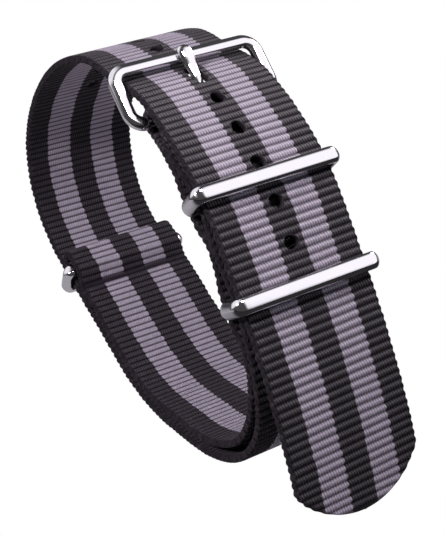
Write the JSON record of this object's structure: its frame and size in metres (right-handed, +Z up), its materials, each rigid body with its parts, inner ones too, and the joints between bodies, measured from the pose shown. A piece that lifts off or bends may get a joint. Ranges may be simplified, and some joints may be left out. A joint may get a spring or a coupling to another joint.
{
  "type": "watch strap",
  "caption": "One-piece pull-through watch strap of striped ribbed nylon, buckled shut, with a polished steel frame buckle, tang and keeper rings",
  "frame": {"origin": "on the floor, under the middle of the strap as it stands on the tip of its tail and on the bottom of its loop", "axes": "+X across the webbing, to the wearer's right seen from the buckle; +Y from the buckle side to the rear; +Z up"},
  "size_m": [0.0244, 0.081, 0.0592],
  "materials": {
    "webbing": "ribbed nylon webbing, three black stripes and two grey ones",
    "polished_steel": "polished"
  },
  "bodies": {
    "webbing": {"main_strap": "webbing", "secondary_strap": "webbing"},
    "buckle": {"buckle_frame": "polished_steel", "pivot_pin": "polished_steel"},
    "tang": {"buckle_tang": "polished_steel"},
    "upper_ring": {"keeper_upper": "polished_steel"},
    "lower_ring": {"keeper_lower": "polished_steel"},
    "rear_ring": {"keeper_rear": "polished_steel"}
  },
  "joints": [
    {"name": "buckle_hinge", "type": "hinge", "parent": "webbing", "child": "buckle", "pos_m": [0, -0.00992, 0.05073], "axis": [1, 0, 0], "range_deg": [0, 3]},
    {"name": "tang_hinge", "type": "hinge", "parent": "buckle", "child": "tang", "pos_m": [0, -0.00992, 0.05073], "axis": [1, 0, 0], "range_deg": [0, 3]},
    {"name": "upper_ring_rock", "type": "hinge", "parent": "webbing", "child": "upper_ring", "pos_m": [0, -0.021, 0.04146], "axis": [1, 0, 0], "range_deg": [-4, 4]},
    {"name": "lower_ring_rock", "type": "hinge", "parent": "webbing", "child": "lower_ring", "pos_m": [0, -0.02777, 0.0289], "axis": [1, 0, 0], "range_deg": [-4, 4]},
    {"name": "rear_ring_rock", "type": "hinge", "parent": "webbing", "child": "rear_ring", "pos_m": [0, 0.02719, 0.0178], "axis": [1, 0, 0], "range_deg": [-8, 8]}
  ]
}
